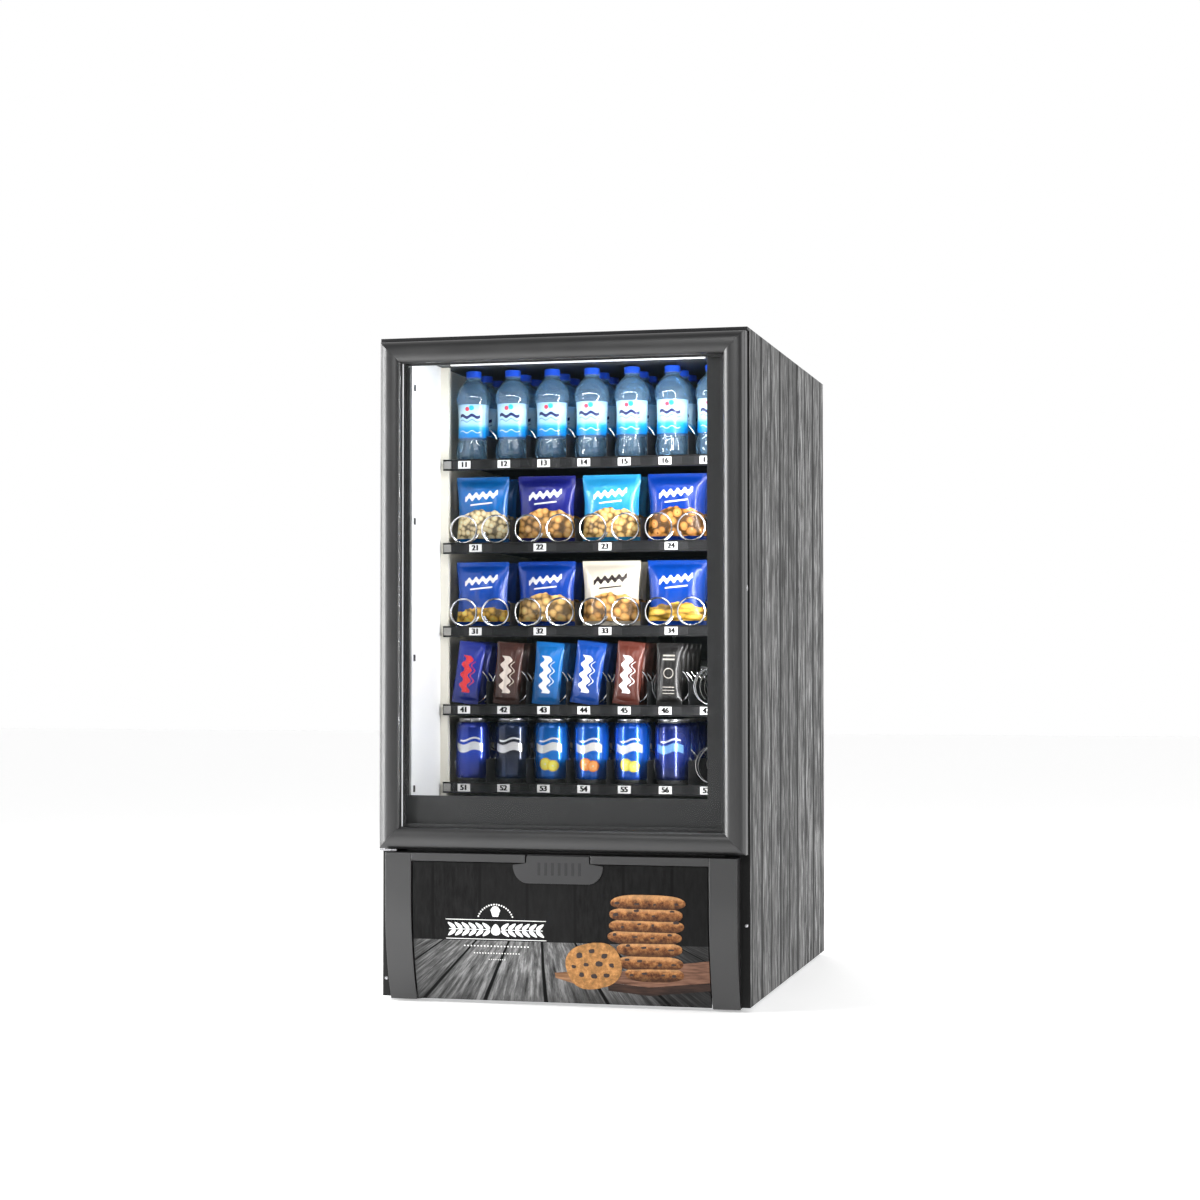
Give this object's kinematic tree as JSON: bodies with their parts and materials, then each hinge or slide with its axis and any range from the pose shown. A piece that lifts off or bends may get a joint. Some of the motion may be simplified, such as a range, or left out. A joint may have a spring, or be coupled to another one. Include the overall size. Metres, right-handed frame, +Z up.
{
  "type": "snack vending machine",
  "caption": "Compact refrigerated snack vending machine with a framed glass door, spiral trays and a curved pull-down delivery flap.",
  "frame": {"origin": "on the floor, under the middle of the overall box", "axes": "+X to the right seen from the front, +Y to the rear (the door faces -Y), +Z up"},
  "size_m": [0.656, 0.882, 1.165],
  "materials": {
    "charcoal_paint": "satin powder coat",
    "black_steel": "satin black paint",
    "wood_decor_sheet": "matt wood-grain laminate on steel",
    "zinc_sheet": "galvanised",
    "fastener_steel": "zinc plated",
    "spiral_wire": "bright drawn wire",
    "foam_wall": "white skin over insulating foam",
    "rack_steel": "off-white paint",
    "led_diffuser": "opal",
    "fin_aluminium": "mill finish",
    "fin_pack": "fins and tubes",
    "pane": "clear",
    "seal_rubber": "matt",
    "dark_mask": "satin",
    "bin_plastic": "matt black",
    "flap_print": "printed, satin",
    "handle_plastic": "satin",
    "motor_plastic": "matt",
    "fan_plastic": "matt",
    "compressor_paint": "gloss black",
    "box_plastic": "zinc-grey cover"
  },
  "bodies": {
    "cabinet": {"side_panel_left": "wood_decor_sheet", "side_panel_right": "wood_decor_sheet", "top_panel": "black_steel", "rear_panel": "zinc_sheet", "rear_grille": "zinc_sheet", "base_tray": "zinc_sheet", "front_crossbar": "charcoal_paint", "foot_front_left": "seal_rubber", "foot_front_right": "seal_rubber", "foot_rear_left": "seal_rubber", "foot_rear_right": "seal_rubber", "wall_left": "foam_wall", "wall_right": "foam_wall", "ceiling": "foam_wall", "wall_rear": "foam_wall", "insulated_deck": "foam_wall", "tray_rack_left": "rack_steel", "tray_rack_right": "rack_steel", "led_bar": "led_diffuser", "fascia": "charcoal_paint", "delivery_bin": "bin_plastic", "compressor": "compressor_paint", "condenser": "fin_pack", "evaporator": "fin_aluminium", "control_box": "box_plastic", "hinge_pin_top": "fastener_steel", "hinge_bracket_bottom": "fastener_steel"},
    "door": {"door_rail_left": "charcoal_paint", "door_rail_right": "charcoal_paint", "door_rail_top": "charcoal_paint", "door_rail_bottom": "charcoal_paint", "glass_outer": "pane", "glass_spacer": "fin_aluminium", "glass_inner": "pane", "door_mask": "dark_mask", "door_gasket": "seal_rubber"},
    "lock": {"latch_hook": "fastener_steel", "lock_barrel": "fastener_steel"},
    "flap": {"flap_panel": "flap_print", "flap_handle": "handle_plastic"},
    "security_flap": {"security_flap": "bin_plastic"},
    "condenser_fan": {"condenser_fan": "fan_plastic"},
    "evaporator_fan": {"evaporator_fan": "fan_plastic"},
    "tray_1": {"tray_1": "black_steel", "tray_1_motors": "motor_plastic"},
    "spiral_1": {"spiral_1": "spiral_wire"},
    "tray_2": {"tray_2": "black_steel", "tray_2_motors": "motor_plastic"},
    "spiral_2_left": {"spiral_2_left": "spiral_wire"},
    "spiral_2_right": {"spiral_2_right": "spiral_wire"},
    "tray_3": {"tray_3": "black_steel", "tray_3_motors": "motor_plastic"},
    "spiral_3_left": {"spiral_3_left": "spiral_wire"},
    "spiral_3_right": {"spiral_3_right": "spiral_wire"},
    "tray_4": {"tray_4": "black_steel", "tray_4_motors": "motor_plastic"},
    "spiral_4": {"spiral_4": "spiral_wire"},
    "tray_5": {"tray_5": "black_steel", "tray_5_motors": "motor_plastic"},
    "spiral_5": {"spiral_5": "spiral_wire"}
  },
  "joints": [
    {"name": "door_hinge", "type": "hinge", "parent": "cabinet", "child": "door", "pos_m": [-0.32, -0.416, 0.713], "axis": [0, 0, -1], "range_deg": [0, 105]},
    {"name": "lock_turn", "type": "hinge", "parent": "door", "child": "lock", "pos_m": [0.311, -0.417, 0.72], "axis": [-1, 0, 0], "range_deg": [0, 90]},
    {"name": "flap_hinge", "type": "hinge", "parent": "cabinet", "child": "flap", "pos_m": [0, -0.397, 0.014], "axis": [1, 0, 0], "range_deg": [0, 45], "stiffness_Nm_per_rad": 2, "springref_deg": -28.65},
    {"name": "security_flap_hinge", "type": "hinge", "parent": "cabinet", "child": "security_flap", "pos_m": [0, -0.214, 0.258], "axis": [-1, 0, 0], "range_deg": [0, 90]},
    {"name": "condenser_fan_spin", "type": "hinge", "parent": "cabinet", "child": "condenser_fan", "pos_m": [-0.15, 0.305, 0.145], "axis": [0, 1, 0], "continuous": true},
    {"name": "evaporator_fan_spin", "type": "hinge", "parent": "cabinet", "child": "evaporator_fan", "pos_m": [0, 0.362, 0.69], "axis": [0, 1, 0], "continuous": true},
    {"name": "tray_1_slide", "type": "slide", "parent": "cabinet", "child": "tray_1", "axis": [0, -1, 0], "range_m": [0, 0.12]},
    {"name": "spiral_1_spin", "type": "hinge", "parent": "tray_1", "child": "spiral_1", "pos_m": [0.225, -0.2, 0.9984], "axis": [0, 1, 0], "continuous": true},
    {"name": "tray_2_slide", "type": "slide", "parent": "cabinet", "child": "tray_2", "axis": [0, -1, 0], "range_m": [0, 0.12]},
    {"name": "spiral_2_left_spin", "type": "hinge", "parent": "tray_2", "child": "spiral_2_left", "pos_m": [0.131, -0.2, 0.8373], "axis": [0, 1, 0], "continuous": true},
    {"name": "spiral_2_right_spin", "type": "hinge", "parent": "tray_2", "child": "spiral_2_right", "pos_m": [0.191, -0.2, 0.8373], "axis": [0, 1, 0], "continuous": true},
    {"name": "tray_3_slide", "type": "slide", "parent": "cabinet", "child": "tray_3", "axis": [0, -1, 0], "range_m": [0, 0.12]},
    {"name": "spiral_3_left_spin", "type": "hinge", "parent": "tray_3", "child": "spiral_3_left", "pos_m": [0.131, -0.2, 0.6853], "axis": [0, 1, 0], "continuous": true},
    {"name": "spiral_3_right_spin", "type": "hinge", "parent": "tray_3", "child": "spiral_3_right", "pos_m": [0.191, -0.2, 0.6853], "axis": [0, 1, 0], "continuous": true},
    {"name": "tray_4_slide", "type": "slide", "parent": "cabinet", "child": "tray_4", "axis": [0, -1, 0], "range_m": [0, 0.12]},
    {"name": "spiral_4_spin", "type": "hinge", "parent": "tray_4", "child": "spiral_4", "pos_m": [0.225, -0.2, 0.5514], "axis": [0, 1, 0], "continuous": true},
    {"name": "tray_5_slide", "type": "slide", "parent": "cabinet", "child": "tray_5", "axis": [0, -1, 0], "range_m": [0, 0.12]},
    {"name": "spiral_5_spin", "type": "hinge", "parent": "tray_5", "child": "spiral_5", "pos_m": [0.225, -0.2, 0.4099], "axis": [0, 1, 0], "continuous": true}
  ],
  "couplings": [
    {"joint": "security_flap_hinge", "follows": "flap_hinge", "ratio": 2},
    {"joint": "spiral_2_left_spin", "follows": "spiral_2_right_spin", "ratio": -1},
    {"joint": "spiral_3_left_spin", "follows": "spiral_3_right_spin", "ratio": -1}
  ]
}
